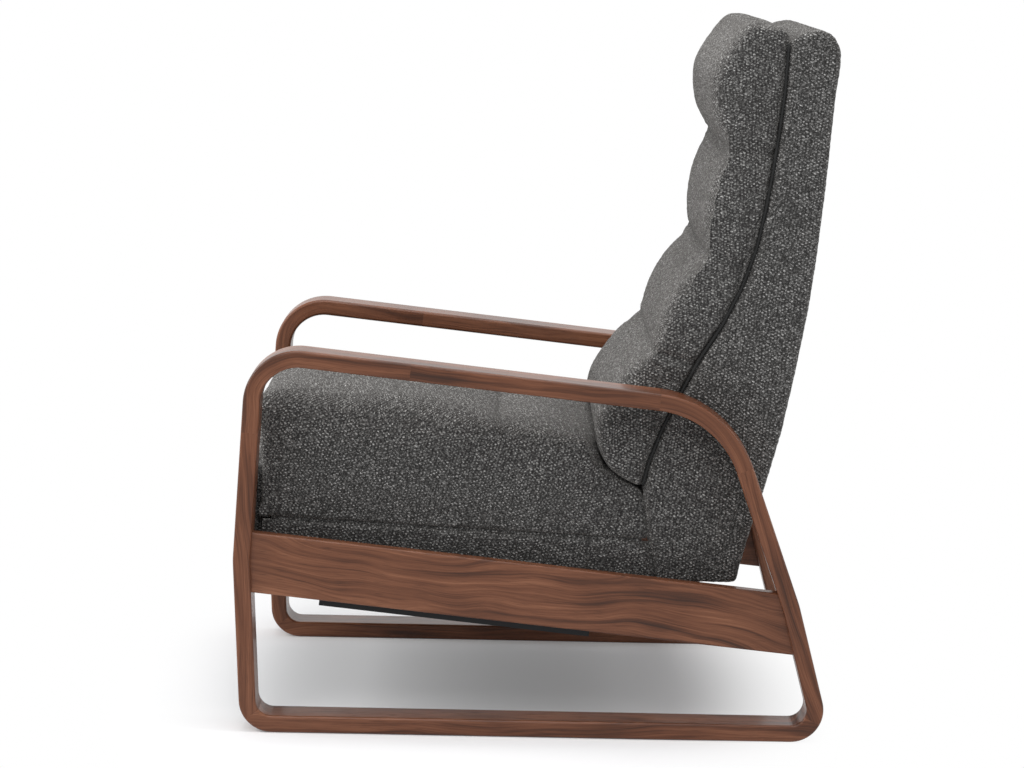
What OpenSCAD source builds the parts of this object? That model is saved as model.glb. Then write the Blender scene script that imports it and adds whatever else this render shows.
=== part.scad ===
// Recliner with two jointed wooden side loops, an upholstered seat and back,
// and a legrest that unfolds from under the seat on steel links.
// The chair faces -Y, +X is the sitter's left and +Z is up.
// The origin is on the floor, in the middle of the chair's outline.

/* [Side loops] */
// Width over both side loops
chair_w = 695; // [670:1:760]
// Width of a loop's bar, across the chair
bar_w = 64; // [56:1:64]
// Thickness of a loop's bar, in the plane of the loop
bar_t = 25; // [21:1:28]
// Rounding along the bar's long edges
bar_edge = 4; // [1:0.5:6]
// Y of the loop's front corner on the floor
foot_front_y = -422; // [-426:1:-418]
// Y of the loop's rear corner on the floor
foot_rear_y = 449; // [445:1:460]
// Y of the front leg's knee, the furthest point forward
knee_front_y = -434.5; // [-437:0.5:-432]
// Height of the front leg's knee
knee_front_z = 256; // [246:1:266]
// Y of the corner between the front leg and the arm
arm_front_y = -417; // [-420:1:-414]
// Height of the corner between the front leg and the arm
arm_front_z = 574; // [570:1:600]
// Y of the corner between the arm and the rear leg
arm_rear_y = 286; // [280:1:300]
// Height of the corner between the arm and the rear leg
arm_rear_z = 503; // [495:1:515]
// Y of the rear leg's knee
knee_rear_y = 394; // [392:1:396]
// Height of the rear leg's knee
knee_rear_z = 205; // [202:1:208]
// Outer radius where a leg turns into the runner
foot_r = 48; // [40:1:56]
// Outer radius where the front leg turns into the arm
front_r = 80; // [70:1:88]
// Outer radius where the arm turns into the rear leg
rear_r = 163; // [150:1:172]
// Outer radius of the soft knees in both legs
knee_r = 160; // [100:1:200]

/* [Side rails] */
// Thickness of a side rail
rail_t = 22; // [18:1:26]
// Height of a side rail
rail_h = 89; // [80:1:94]
// How far a rail's outer face lies inside the loop's outer face
rail_recess = 12; // [6:1:16]
// Fall of a rail towards the rear, in degrees
rail_fall = 5.6; // [5:0.1:6.2]
// Height of a rail's middle line at the chair's middle
rail_mid_z = 211; // [208:1:216]

/* [Base channels] */
// Y at which a base channel starts, along the rail
channel_front_y = -306; // [-312:1:-290]
// Length of a base channel
channel_len = 400; // [385:1:410]
// How far a channel reaches below its rail
channel_drop = 12; // [9:1:15]
// Height of a channel's flanges
channel_h = 26; // [24:1:30]
// Thickness of the channel's steel
channel_t = 3; // [2:0.5:3]
// Y of the front swing arms' lower pivots, along the rail
swing_front_y = -262; // [-275:1:-250]
// Y of the rear swing arms' lower pivots, along the rail
swing_rear_y = 40; // [30:1:50]
// Length of a swing arm between its pivots
swing_len = 40; // [36:1:42]
// Lean of the swing arms towards the rear at rest, in degrees
swing_lean = 25; // [20:1:28]

/* [Seat frame] */
// Height of the seat's deck at the chair's middle
deck_z = 290; // [288:1:292]
// Fall of the deck towards the rear, in degrees
deck_fall = 2.45; // [2.2:0.05:2.6]
// Thickness of the seat's boards
board_t = 20; // [16:1:20]
// Height of the seat's boards
board_h = 48; // [44:1:52]
// Y of the front edge of the seat's boards, along the deck
box_front_y = -382; // [-384:1:-380]
// Y of the rear edge of the seat's boards, along the deck
box_rear_y = 150; // [140:1:152]
// Number of zigzag springs across the deck
spring_n = 4; // [3:1:5]
// Thickness of a spring's wire
spring_wire = 3.4; // [2.8:0.2:3.6]

/* [Steel links] */
// Thickness of the links
link_t = 3; // [2.4:0.2:3]
// Gap between neighbouring layers of links, which holds the rivet heads
link_gap = 1.6; // [1.5:0.1:1.8]
// Half width of a link, which is also the radius of its ends
link_r = 9; // [7.5:0.5:9]
// Radius of the links' rivets
rivet_r = 3.5; // [3:0.25:4]
// Radius of a rivet's head
rivet_head_r = 6.5; // [5.5:0.5:7]
// Radius of the bolts on which the back turns
back_bolt_r = 5; // [4:0.5:6]

/* [Upholstery] */
// Gap between the upholstery and the inner face of each arm
arm_gap = 3.5; // [2.5:0.5:5]
// Thickness of the padded cover on the seat's sides
border_t = 9.7; // [8:0.1:9.7]
// Depth of the padded cover below the deck's edge
border_h = 70; // [60:1:74]
// Thickness of the padded cover on the back's sides
cheek_t = 13.5; // [10:0.5:13.5]
// Bulge of the two middle rolls of the back cushion
roll_bulge = 20; // [14:1:24]
// Depth of the sewn channel across the seat cushion
channel_dip = 9; // [4:1:14]

/* [Back frame] */
// Thickness of the back's side panels
panel_t = 15; // [12:1:15]
// Depth of the padding between the panels and the back's rear surface
rear_pad = 10; // [8:1:14]
// Number of webbing bands across the back
band_n = 6; // [4:1:7]
// Height of a webbing band
band_h = 50; // [40:1:60]

/* [Legrest] */
// How far the legrest's board stays inside the upholstery at each side
legrest_inset = 18; // [15:1:30]
// How far the legrest's pad reaches past its board at each side
pad_overhang = 14; // [10:1:14]
// Thickness of the legrest's board
legrest_t = 10; // [8:1:10]
// Height of the legrest board's lower edge when it is folded
legrest_low_z = 199; // [198:1:206]
// Height of the legrest board's upper edge when it is folded
legrest_top_z = 381; // [372:1:382]

/* [Hidden] */
$fn = 64;
wood = [0.42, 0.26, 0.19];
plain_wood = [0.72, 0.58, 0.42];
black_steel = [0.08, 0.08, 0.085];
bright_steel = [0.62, 0.63, 0.65];
fabric = [0.22, 0.22, 0.22];
band_cloth = [0.12, 0.11, 0.1];

// Radial clearance of a pin in its hole, and the clearance between flat faces that pass each other
pin_fit = 0.06;
face_fit = 0.2;

// Vector helpers in the plane of a side loop, where a point is [Y, Z]
function unit(v) = v / norm(v);
function left_of(v) = [-v[1], v[0]];
function heading(v) = atan2(v[1], v[0]);
function turn_between(a, b) = acos(max(-1, min(1, a * b)));

// The loop's outer corners, counter-clockwise from the front foot, and their outer radii
loop_corners = [
  [foot_front_y, 0], [foot_rear_y, 0], [knee_rear_y, knee_rear_z],
  [arm_rear_y, arm_rear_z], [arm_front_y, arm_front_z], [knee_front_y, knee_front_z],
];
loop_radii = [foot_r, foot_r, knee_r, rear_r, front_r, knee_r];
corner_n = len(loop_corners);
function run_dir(i) = unit(loop_corners[(i + 1) % corner_n] - loop_corners[i]);
function dir_in(i) = run_dir((i + corner_n - 1) % corner_n);
function turn_at(i) = turn_between(dir_in(i), run_dir(i));
// The corner of a line that runs a distance inside the outer outline
function inset_step(i) = (left_of(dir_in(i)) + left_of(run_dir(i))) / (1 + dir_in(i) * run_dir(i));
function inset_corner(i, d) = loop_corners[i] + inset_step(i) * d;
function arc_centre(i) = inset_corner(i, loop_radii[i]);
function arc_start_angle(i) = heading(-left_of(dir_in(i)));
function arc_point(i, d, f) =
  let (a = arc_start_angle(i) + f * turn_at(i))
  arc_centre(i) + (loop_radii[i] - d) * [cos(a), sin(a)];

// Turns a shape drawn in [Y, Z] and raised along its own Z so that it stands across the chair
module side_plane() {
  rotate([90, 0, 90]) children();
}

// Mirrors to the sitter's right for s = -1, and leaves the left as it is
module on_side(s) {
  mirror([s < 0 ? 1 : 0, 0, 0]) children();
}

// A rectangle with round corners, made of squares and circles so that its edges stay true
module round_rect(a, b, r) {
  square([a - 2 * r, b], center = true);
  square([a, b - 2 * r], center = true);
  for (i = [-1, 1], j = [-1, 1]) {
    translate([i * (a / 2 - r), j * (b / 2 - r)]) circle(r, $fn = 24);
  }
}

// The loop's bar is a chain of straight runs and bends. Each stands in the frame in which the
// one before it ends, where X runs along the bar's outer face and Y points into the loop.
module turned(r, a) {
  translate([0, r, 0]) rotate([0, 0, a]) translate([0, -r, 0]) children();
}

module run(length) {
  rotate([90, 0, 90]) linear_extrude(length) translate([bar_t / 2, 0]) round_rect(bar_t, bar_w, bar_edge);
}

// A bend between the turns a and b, cut square at both ends. It is cut from a ring, whose own
// seam is turned away from it.
module bend(r, a, b, cut_a = 0, cut_b = 0) {
  size = [2 * r, 2 * r + 2, 2 * bar_w];
  seam = b - a > 90 ? 30 : 90;
  intersection() {
    translate([0, r, 0]) rotate([0, 0, seam]) rotate_extrude($fn = 96)
      translate([r - bar_t / 2, 0]) round_rect(bar_t, bar_w, bar_edge);
    turned(r, a) translate([cut_a, -1, -bar_w]) cube(size);
    turned(r, b) translate([-2 * r - cut_b, -1, -bar_w]) cube(size);
  }
}

// Stands its children where the bend at corner i begins, or where it ends
module at_bend(i, ends = 0) {
  p = arc_point(i, 0, ends);
  translate([p[0], p[1], 0]) rotate([0, 0, heading(ends == 0 ? dir_in(i) : run_dir(i))]) children();
}
function run_length(i) = norm(arc_point((i + 1) % corner_n, 0, 0) - arc_point(i, 0, 1));

// One piece of a loop, set at the loop's place across the chair
module loop_piece(s) {
  color(wood) on_side(s) translate([chair_w / 2 - bar_w / 2, 0, 0]) side_plane() children();
}

// Fractions of a bend or a run at which the loop's pieces are jointed, and the glue line there
foot_joint = 0.4;
front_leg_joint = 0.8;
arm_front_joint = 0.7;
glue = 0.06;

module runner(s) {
  r = loop_radii[0];
  loop_piece(s) at_bend(0, 1) {
    bend(r, -(1 - foot_joint) * turn_at(0), 0, glue / 2);
    run(run_length(0));
    translate([run_length(0), 0, 0]) bend(loop_radii[1], 0, (1 - foot_joint) * turn_at(1), 0, glue / 2);
  }
}

module rear_leg(s) {
  loop_piece(s) at_bend(1, 1) {
    bend(loop_radii[1], -foot_joint * turn_at(1), 0, glue / 2);
    run(run_length(1));
    translate([run_length(1), 0, 0]) {
      bend(loop_radii[2], 0, turn_at(2));
      turned(loop_radii[2], turn_at(2)) run(run_length(2) - glue);
    }
  }
}

module rear_bend(s) {
  loop_piece(s) at_bend(3) bend(loop_radii[3], 0, turn_at(3), 0, glue);
}

module arm(s) {
  loop_piece(s) at_bend(3, 1) run(run_length(3) * arm_front_joint - glue);
}

module front_bend(s) {
  back = run_length(3) * (1 - arm_front_joint);
  loop_piece(s) at_bend(4) {
    translate([-back, 0, 0]) run(back);
    bend(loop_radii[4], 0, turn_at(4));
    turned(loop_radii[4], turn_at(4)) run(run_length(4) * (1 - front_leg_joint) - glue);
  }
}

module front_leg(s) {
  up = run_length(4) * front_leg_joint;
  loop_piece(s) at_bend(5) {
    translate([-up, 0, 0]) run(up);
    bend(loop_radii[5], 0, turn_at(5));
    turned(loop_radii[5], turn_at(5)) {
      run(run_length(5));
      translate([run_length(5), 0, 0]) bend(loop_radii[0], 0, foot_joint * turn_at(0), 0, glue / 2);
    }
  }
}

// The space inside a loop, as an outline with true arcs
module loop_space() {
  inset = bar_t + glue;
  polygon([
    for (i = [0:corner_n - 1], f = [0, 1])
      arc_point(i, inset, f)
  ]);
  for (i = [0:corner_n - 1]) {
    intersection() {
      translate(arc_centre(i)) circle(loop_radii[i] - inset, $fn = 96);
      polygon([arc_centre(i), arc_point(i, inset, 0), inset_corner(i, inset), arc_point(i, inset, 1)]);
    }
  }
}

soft_w = chair_w - 2 * bar_w - 2 * arm_gap;
legrest_w = soft_w - 2 * legrest_inset;
rail_x_out = chair_w / 2 - rail_recess;
rail_x_in = rail_x_out - rail_t;
rail_bottom = -rail_h / 2;

// The frame of the rails: Y runs along a rail and Z square to it, from its middle line
module rail_frame() {
  translate([0, 0, rail_mid_z]) rotate([-rail_fall, 0, 0]) children();
}
function tilted(p, mid_z, fall) =
  [p[0] * cos(fall) + p[1] * sin(fall), mid_z - p[0] * sin(fall) + p[1] * cos(fall)];
function from_rail(p) = tilted(p, rail_mid_z, rail_fall);

// The frame of the seat's deck: Y runs along the deck and Z square to it
module deck_frame() {
  translate([0, 0, deck_z]) rotate([-deck_fall, 0, 0]) children();
}
function from_deck(p) = tilted(p, deck_z, deck_fall);

module slab(low, high) {
  translate(low) cube(high - low);
}

// A flat piece between two distances from the chair's middle, drawn in [Y, Z]
module sheet_between(x0, x1) {
  translate([x0, 0, 0]) side_plane() linear_extrude(x1 - x0) children();
}

// A round piece across the chair at a point [Y, Z]
module round_across(p, r, x0, x1) {
  translate([x0, p[0], p[1]]) rotate([0, 90, 0]) cylinder(r = r, h = x1 - x0);
}

// A strap with round ends about two points. Its straight sides stand a hair inside the ends,
// so that they cross them cleanly.
module strap(p, q, rp, rq) {
  side = acos((rp - rq) / norm(q - p));
  base = heading(q - p);
  a = rp - 0.003;
  b = rq - 0.003;
  polygon([
    p + a * [cos(base + side), sin(base + side)], p + a * [cos(base - side), sin(base - side)],
    q + b * [cos(base - side), sin(base - side)], q + b * [cos(base + side), sin(base + side)],
  ]);
  translate(p) circle(rp);
  translate(q) circle(rq);
}

module hole_at(p, r) {
  translate(p) circle(r);
}

// Screws that hold a channel to its rail, in the rails' frame
screw_ys = [channel_front_y + 36, channel_front_y + channel_len / 2, channel_front_y + channel_len - 36];
screw_z = rail_bottom + (channel_h - channel_drop) / 2;
screw_r = 2.5;
screw_len = 16;

module rail(s) {
  color(wood) on_side(s) difference() {
    intersection() {
      rail_frame() translate([(rail_x_out + rail_x_in) / 2, 0, 0]) rotate([90, 0, 0])
        linear_extrude(2000, center = true) round_rect(rail_t, rail_h, 3);
      sheet_between(rail_x_in - 1, rail_x_out + 1) loop_space();
    }
    rail_frame() for (y = screw_ys) {
      round_across([y, screw_z], screw_r + pin_fit, rail_x_in - 1, rail_x_in + screw_len + 1);
    }
  }
}

// Distances from the chair's middle of the layers of steel, from the channel inwards
seat_board_in = soft_w / 2 - border_t - 0.3 - board_t;
plate_x = seat_board_in - link_t;
swing_x = seat_board_in + link_gap + 0.6;
channel_x = swing_x + link_t + 1.2;
function layer_x(k) = plate_x - k * (link_t + link_gap);
rivet_head_t = link_gap - 2 * face_fit;

channel_top = rail_bottom - channel_drop + channel_h;
channel_floor = rail_bottom - channel_drop;
channel_rear_y = channel_front_y + channel_len;
swing_z = (channel_floor + channel_top) / 2 + 4;
swing_feet = [from_rail([swing_front_y, swing_z]), from_rail([swing_rear_y, swing_z])];
swing_heads = [for (p = swing_feet) p + swing_len * [sin(swing_lean), cos(swing_lean)]];
tube_r = 9;
tube_ys = [-118, -10];
tube_z = channel_floor + channel_t + tube_r + 1;

// A steel channel along the inner face of a rail, with the swing arms' pivots in its inner flange
module channel(s) {
  color(black_steel) on_side(s) difference() {
    rail_frame() difference() {
      slab([channel_x, channel_front_y, channel_floor], [rail_x_in, channel_rear_y, channel_top]);
      slab([channel_x + channel_t, channel_front_y - 1, channel_floor + channel_t],
           [rail_x_in - channel_t, channel_rear_y + 1, channel_top + 1]);
      for (y = screw_ys) round_across([y, screw_z], screw_r + pin_fit, rail_x_in - channel_t - 1, rail_x_in + 1);
      for (i = [0:3]) {
        slab([channel_x + 12, channel_front_y + 40 + i * 90, channel_floor - 1],
             [rail_x_in - 14, channel_front_y + 90 + i * 90, channel_floor + channel_t + 1]);
      }
    }
    for (p = swing_feet) round_across(p, rivet_r + pin_fit, channel_x - 1, channel_x + channel_t + 1);
  }
}

module channel_screws() {
  color(bright_steel) for (s = [-1, 1]) on_side(s) rail_frame() for (y = screw_ys) {
    round_across([y, screw_z], screw_r, rail_x_in - channel_t - 0.5, rail_x_in + screw_len);
    round_across([y, screw_z], screw_r * 2, rail_x_in - channel_t - 2.6, rail_x_in - channel_t);
  }
}

module cross_tubes() {
  color(black_steel) rail_frame() for (y = tube_ys) difference() {
    round_across([y, tube_z], tube_r, -channel_x, channel_x);
    round_across([y, tube_z], tube_r - 2, -channel_x - 1, channel_x + 1);
  }
}

stretcher_w = 60;
stretcher_y = 215;
module rear_stretcher() {
  color(wood) rail_frame() translate([0, stretcher_y + stretcher_w / 2, rail_bottom + 12]) rotate([90, 0, 90])
    linear_extrude(2 * rail_x_in, center = true) round_rect(stretcher_w, 20, 3);
}

// A rivet from its outer head to its inner head: x1 is the outer face of the outer piece
// and x0 the inner face of the inner piece
module rivet(p, x0, x1) {
  round_across(p, rivet_r, x0 - face_fit - rivet_head_t / 2, x1 + face_fit + rivet_head_t / 2);
  round_across(p, rivet_head_r, x1 + face_fit, x1 + face_fit + rivet_head_t);
  round_across(p, rivet_head_r, x0 - face_fit - rivet_head_t, x0 - face_fit);
}

// A rivet whose outer end is hammered flush, with a head on the inner side only
module flush_rivet(p, x0, x1) {
  round_across(p, rivet_r, x0 - face_fit - rivet_head_t / 2, x1);
  round_across(p, rivet_head_r, x0 - face_fit - rivet_head_t, x0 - face_fit);
}

// A stud fixed in the seat's plate, with one head beyond the piece that it carries
module stud(p, x_fixed, x_face, way) {
  low = min(x_fixed, x_face + way * (face_fit + rivet_head_t));
  high = max(x_fixed, x_face + way * (face_fit + rivet_head_t));
  head = x_face + way * face_fit;
  round_across(p, rivet_r, low, high);
  round_across(p, rivet_head_r, min(head, head + way * rivet_head_t), max(head, head + way * rivet_head_t));
}

module base_swing_pins() {
  color(bright_steel) for (s = [-1, 1], p = swing_feet) on_side(s) rivet(p, swing_x, channel_x + channel_t);
}

module seat_swing_pins() {
  color(bright_steel) for (s = [-1, 1], p = swing_heads) on_side(s) stud(p, plate_x, swing_x + link_t, 1);
}

module swing(s, i) {
  color(black_steel) on_side(s) sheet_between(swing_x, swing_x + link_t) difference() {
    strap(swing_feet[i], swing_heads[i], link_r, link_r - 1);
    hole_at(swing_feet[i], rivet_r + pin_fit);
    hole_at(swing_heads[i], rivet_r + pin_fit);
  }
}

// Pivots of the legrest's links when it is folded, as [Y, Z]: the lift arm runs from lift_foot
// to elbow, the reach arm from elbow to legrest_low, the guide arm from guide_foot past
// crossing to guide_end, and the hold arm from guide_end to legrest_high
lift_foot = [-334.5, 268.4];
guide_foot = [-366, 282];
elbow = [-149.2, 193.2];
crossing = [-191.8, 197.4];
guide_end = [-166, 227.6];
legrest_low = [-381.8, 236.5];
legrest_high = [-381.8, 263.5];
back_pivot = [216, 240];

plate_low = -44;
plate_high = -12;

// The seat's steel side plate, which carries the links, the swing arms and the back's pivot
module seat_plate(s) {
  color(black_steel) on_side(s) sheet_between(plate_x, seat_board_in) difference() {
    union() {
      polygon([
        from_deck([box_front_y + 4, plate_low]), from_deck([box_rear_y, plate_low]),
        from_deck([box_rear_y, plate_high]), from_deck([box_front_y + 4, plate_high]),
      ]);
      strap(from_deck([swing_front_y + 20, -28]), swing_heads[0], 16, link_r);
      strap(from_deck([swing_rear_y + 20, -28]), swing_heads[1], 16, link_r);
      strap(from_deck([box_rear_y - 26, -28]), back_pivot, 16, 14);
      translate(lift_foot) circle(link_r + 2);
    }
    hole_at(lift_foot, rivet_r + pin_fit);
    hole_at(guide_foot, rivet_r + pin_fit);
    for (p = swing_heads) hole_at(p, rivet_r + pin_fit);
    hole_at(back_pivot, back_bolt_r + pin_fit);
    for (i = [0:3]) translate(from_deck([-250 + i * 100, -28])) circle(7);
  }
}

module seat_studs() {
  color(bright_steel) for (s = [-1, 1]) on_side(s) {
    stud(lift_foot, seat_board_in, layer_x(1), -1);
    stud(guide_foot, seat_board_in, layer_x(3), -1);
  }
}

module lift_arm(s) {
  color(black_steel) on_side(s) sheet_between(layer_x(1), layer_x(1) + link_t) difference() {
    strap(lift_foot, elbow, link_r, link_r);
    hole_at(lift_foot, rivet_r + pin_fit);
    hole_at(elbow, rivet_r + pin_fit);
  }
}

module lift_arm_rivets() {
  color(bright_steel) for (s = [-1, 1]) on_side(s) rivet(elbow, layer_x(2), layer_x(1) + link_t);
}

// Height of the low bosses that face each other where a linkage is left open
boss_h = (link_gap - face_fit) / 2;

module reach_arm(s) {
  color(black_steel) on_side(s) {
    sheet_between(layer_x(2), layer_x(2) + link_t) difference() {
      union() {
        strap(elbow, legrest_low, link_r, link_r);
        translate(crossing) circle(link_r);
      }
      hole_at(elbow, rivet_r + pin_fit);
      hole_at(legrest_low, rivet_r + pin_fit);
    }
    round_across(crossing, rivet_head_r, layer_x(2) - boss_h, layer_x(2) + link_t / 2);
  }
}

module guide_arm(s) {
  color(black_steel) on_side(s) {
    sheet_between(layer_x(3), layer_x(3) + link_t) difference() {
      union() {
        strap(guide_foot, crossing, link_r, link_r);
        strap(crossing, guide_end, link_r, link_r - 1);
      }
      hole_at(guide_foot, rivet_r + pin_fit);
      hole_at(guide_end, rivet_r + pin_fit);
    }
    round_across(crossing, rivet_head_r, layer_x(3) + link_t / 2, layer_x(3) + link_t + boss_h);
  }
}

module guide_arm_rivets() {
  color(bright_steel) for (s = [-1, 1]) on_side(s) flush_rivet(guide_end, layer_x(4), layer_x(3) + link_t);
}

module hold_arm(s) {
  color(black_steel) on_side(s) {
    sheet_between(layer_x(4), layer_x(4) + link_t) difference() {
      strap(guide_end, legrest_high, link_r - 1, link_r - 1);
      hole_at(guide_end, rivet_r + pin_fit);
    }
    round_across(legrest_high, rivet_head_r - 0.5, layer_x(4) - boss_h, layer_x(4) + link_t / 2);
  }
}

legrest_back_y = -396;
bracket_foot_t = 3;
bracket_reach = 26;

// An angle of steel behind the legrest's board, with the pivots of the reach and hold arms
module legrest_bracket(s) {
  bracket_x = layer_x(5);
  color(black_steel) on_side(s) {
    sheet_between(bracket_x, bracket_x + link_t) difference() {
      union() {
        strap(legrest_low, legrest_high, link_r, link_r);
        translate([legrest_back_y, legrest_low[1] - 18]) square([10, legrest_high[1] - legrest_low[1] + 36]);
      }
      hole_at(legrest_low, rivet_r + pin_fit);
    }
    slab([bracket_x - bracket_reach, legrest_back_y, legrest_low[1] - 18],
         [bracket_x + link_t, legrest_back_y + bracket_foot_t, legrest_high[1] + 18]);
    round_across(legrest_high, rivet_head_r - 0.5, bracket_x + link_t / 2, bracket_x + link_t + boss_h);
  }
}

module legrest_pins() {
  color(bright_steel) for (s = [-1, 1]) on_side(s) {
    rivet(legrest_low, layer_x(5), layer_x(2) + link_t);
    round_across(legrest_low, rivet_head_r - 0.5, layer_x(5) + link_t + face_fit, layer_x(2) - face_fit);
  }
}

module legrest_board() {
  mid_z = (legrest_low_z + legrest_top_z) / 2;
  color(plain_wood) translate([0, legrest_back_y, mid_z]) rotate([90, 0, 0])
    linear_extrude(legrest_t) round_rect(legrest_w, legrest_top_z - legrest_low_z, 12);
}

// Boards of the seat's box, in the deck's frame
board_top = -4;
board_bottom = board_top - board_h;
notch_in = layer_x(5) - link_gap - 1;

module seat_board(s) {
  color(plain_wood) on_side(s) deck_frame() {
    slab([seat_board_in, box_front_y, board_bottom], [seat_board_in + board_t, box_rear_y, board_top]);
  }
}

module front_seat_board() {
  color(plain_wood) deck_frame() difference() {
    slab([-seat_board_in, box_front_y, board_bottom], [seat_board_in, box_front_y + board_t, board_top]);
    for (s = [-1, 1]) on_side(s) {
      slab([notch_in, box_front_y - 1, board_bottom - 1],
           [seat_board_in, box_front_y + board_t + 1, plate_high]);
    }
  }
}

module rear_seat_board() {
  color(plain_wood) deck_frame() {
    slab([-plate_x, box_rear_y - board_t, board_bottom], [plate_x, box_rear_y, board_top]);
  }
}

// A zigzag spring: bars across the deck joined by half rings at alternate ends
spring_bar = 36;
spring_bars = 20;
module zigzag() {
  first_y = box_front_y + board_t / 2;
  pitch = (box_rear_y - board_t / 2 - first_y) / (spring_bars - 1);
  ring = pitch / 2;
  for (i = [0:spring_bars - 1]) {
    translate([-spring_bar / 2, first_y + i * pitch - spring_wire / 2]) square([spring_bar, spring_wire]);
  }
  for (i = [0:spring_bars - 2]) {
    side = i % 2 == 0 ? 1 : -1;
    translate([side * spring_bar / 2, first_y + (i + 0.5) * pitch]) intersection() {
      difference() {
        circle(ring + spring_wire / 2, $fn = 32);
        circle(ring - spring_wire / 2, $fn = 32);
      }
      translate([side > 0 ? -0.02 : -pitch, -pitch]) square([pitch + 0.02, 2 * pitch]);
    }
  }
}

module seat_springs() {
  step = 2 * (plate_x - 60) / (spring_n - 1);
  color(bright_steel) deck_frame() for (i = [0:spring_n - 1]) {
    translate([-plate_x + 60 + i * step, 0, board_top]) linear_extrude(spring_wire) zigzag();
  }
}

border_front_t = 6;
border_top = -0.4;
// The border's rear end, which the back passes as it reclines
border_rear = [[166, 283], [179, 225]];

// The padded cover round the seat's boards, slit where the legrest's links pass
module seat_border() {
  front = box_front_y - border_front_t - 0.3;
  outer = soft_w / 2;
  color(fabric) {
    for (s = [-1, 1]) on_side(s) sheet_between(outer - border_t, outer) polygon([
      from_deck([front, border_top]), from_deck([front, -border_h]),
      from_deck([border_rear[1][0], -border_h]), border_rear[1], border_rear[0],
      from_deck([border_rear[0][0], border_top]),
    ]);
    deck_frame() difference() {
      slab([-outer + border_t, front, board_bottom + 4], [outer - border_t, box_front_y - 0.3, border_top]);
      for (s = [-1, 1]) on_side(s) {
        slab([notch_in, front - 1, board_bottom - 1], [seat_board_in, box_front_y + 1, plate_high]);
      }
    }
  }
}

// Soft forms. A point of an outline is [Y, Z, pull in Y, pull in Z]: the pull is how far the
// point has moved at the side faces, where the cover is drawn in.
function knot(p, i) = p[max(0, min(len(p) - 1, i))];
function between(p, i, t) =
  let (a = knot(p, i - 1), b = knot(p, i), c = knot(p, i + 1), d = knot(p, i + 2))
  0.5 * (2 * b + (c - a) * t + (2 * a - 5 * b + 4 * c - d) * t * t + (3 * b - a - 3 * c + d) * t * t * t);
function smooth(p, n) = [for (i = [0:len(p) - 2], k = [0:n - 1]) between(p, i, k / n), p[len(p) - 1]];
function bulge_line(a, b, depth, n, pull) =
  let (out = left_of(unit([b[0] - a[0], b[1] - a[1]])))
  [for (k = [1:n]) let (t = k / (n + 1), w = pow(sin(180 * t), 0.7))
    [a[0] + (b[0] - a[0]) * t - out[0] * depth * w, a[1] + (b[1] - a[1]) * t - out[1] * depth * w,
     pull * (0.55 + 0.45 * w), 0]];

// The distances across the chair at which a soft form's outline is drawn, and its pull there
function ring_steps(half, edge, n, flats) = concat(
  [for (k = [n:-1:1]) -half + edge - edge * sin(90 * k / n)],
  [for (k = [-flats:flats]) (half - edge) * k / flats],
  [for (k = [1:n]) half - edge + edge * sin(90 * k / n)]
);
function pull_at(x, half, edge, crown) =
  let (t = max(0, (abs(x) - half + edge) / edge))
  crown * pow(x / half, 2) + (1 - crown) * (1 - sqrt(max(0, 1 - t * t)));

// Stuffed cloth is never quite even: each point lies a hair off the plain form
cloth_hair = 0.04;
function hair(i, j) = cloth_hair * sin(113.7 * i + 201.3 * j);

module soft_form(outline, half, edge, crown = 0.15, n = 5, flats = 2) {
  steps = ring_steps(half, edge, n, flats);
  m = len(outline);
  rings = len(steps);
  points = [for (j = [0:rings - 1], i = [0:m - 1])
    let (x = steps[j], p = outline[i], f = pull_at(x, half, edge, crown))
    [x + hair(i, j), p[0] + p[2] * f + hair(i + 3, j + 5), p[1] + p[3] * f + hair(i + 7, j + 2)]];
  skin = [for (j = [0:rings - 2], i = [0:m - 1])
    let (a = j * m + i, b = j * m + (i + 1) % m, c = b + m, d = a + m)
    each [[a, d, b], [b, d, c]]];
  ends = [[for (i = [0:m - 1]) i], [for (i = [m - 1:-1:0]) (rings - 1) * m + i]];
  polyhedron(concat(skin, ends) == [] ? [] : points, concat(skin, ends));
}

// The seam between the back cushion and the back's shell, and the line below it along the seat
seam_line = [
  [163, 362, 0, 0], [172, 400, 0, 0], [191, 452, 0, 0], [220, 512, 0, 0], [245, 560, 0, 0],
  [273, 604, 0, 0], [301, 661, 0, 0], [321, 720, 0, 0], [333, 778, 0, 0], [342, 836, 0, 0],
  [349, 890, 0, 0], [355, 945, 0, 0], [358, 1000, 0, 0], [359, 1030, 0, 0],
];
rear_line = [
  [304, 222, 0, 0], [308, 246, 0, 0], [326, 313, 0, 0], [343, 369, 0, 0], [364, 448, 0, 0],
  [383, 545, 0, 0], [398, 633, 0, 0], [408, 714, 0, 0], [417, 809, 0, 0], [425, 918, 0, 0],
  [430, 985, 0, 0],
];
cheek_line = [[186, 222, 0, 0], [178, 262, 0, 0], [172, 300, 0, 0], [169, 332, 0, 0], [163, 362, 0, 0]];
function by_height(line) = [for (p = line) [p[1], p[0]]];
front_table = concat(by_height(cheek_line), [for (i = [1:len(seam_line) - 1]) [seam_line[i][1], seam_line[i][0]]]);
rear_table = concat(by_height(rear_line), [[1012, 429], [1040, 410]]);
function front_y(z) = lookup(z, front_table);
function rear_y(z) = lookup(z, rear_table);
function pulled(line, py, pz) = [for (p = line) [p[0], p[1], py, pz]];
function shifted(line, dy) = [for (p = line) [p[0] + dy, p[1], p[2], p[3]]];
function reversed(line) = [for (i = [len(line) - 1:-1:0]) line[i]];

seam_gap = 0.7;
back_half = soft_w / 2;
pocket_half = back_half - cheek_t + 0.3;
shell_top = [
  [429, 1010, -8, 0], [419, 1029, -7, -4], [402, 1041, -4, -7], [380, 1047, 0, -8],
  [365, 1045, 3, -6], [360, 1036, 5, -3],
];

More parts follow.
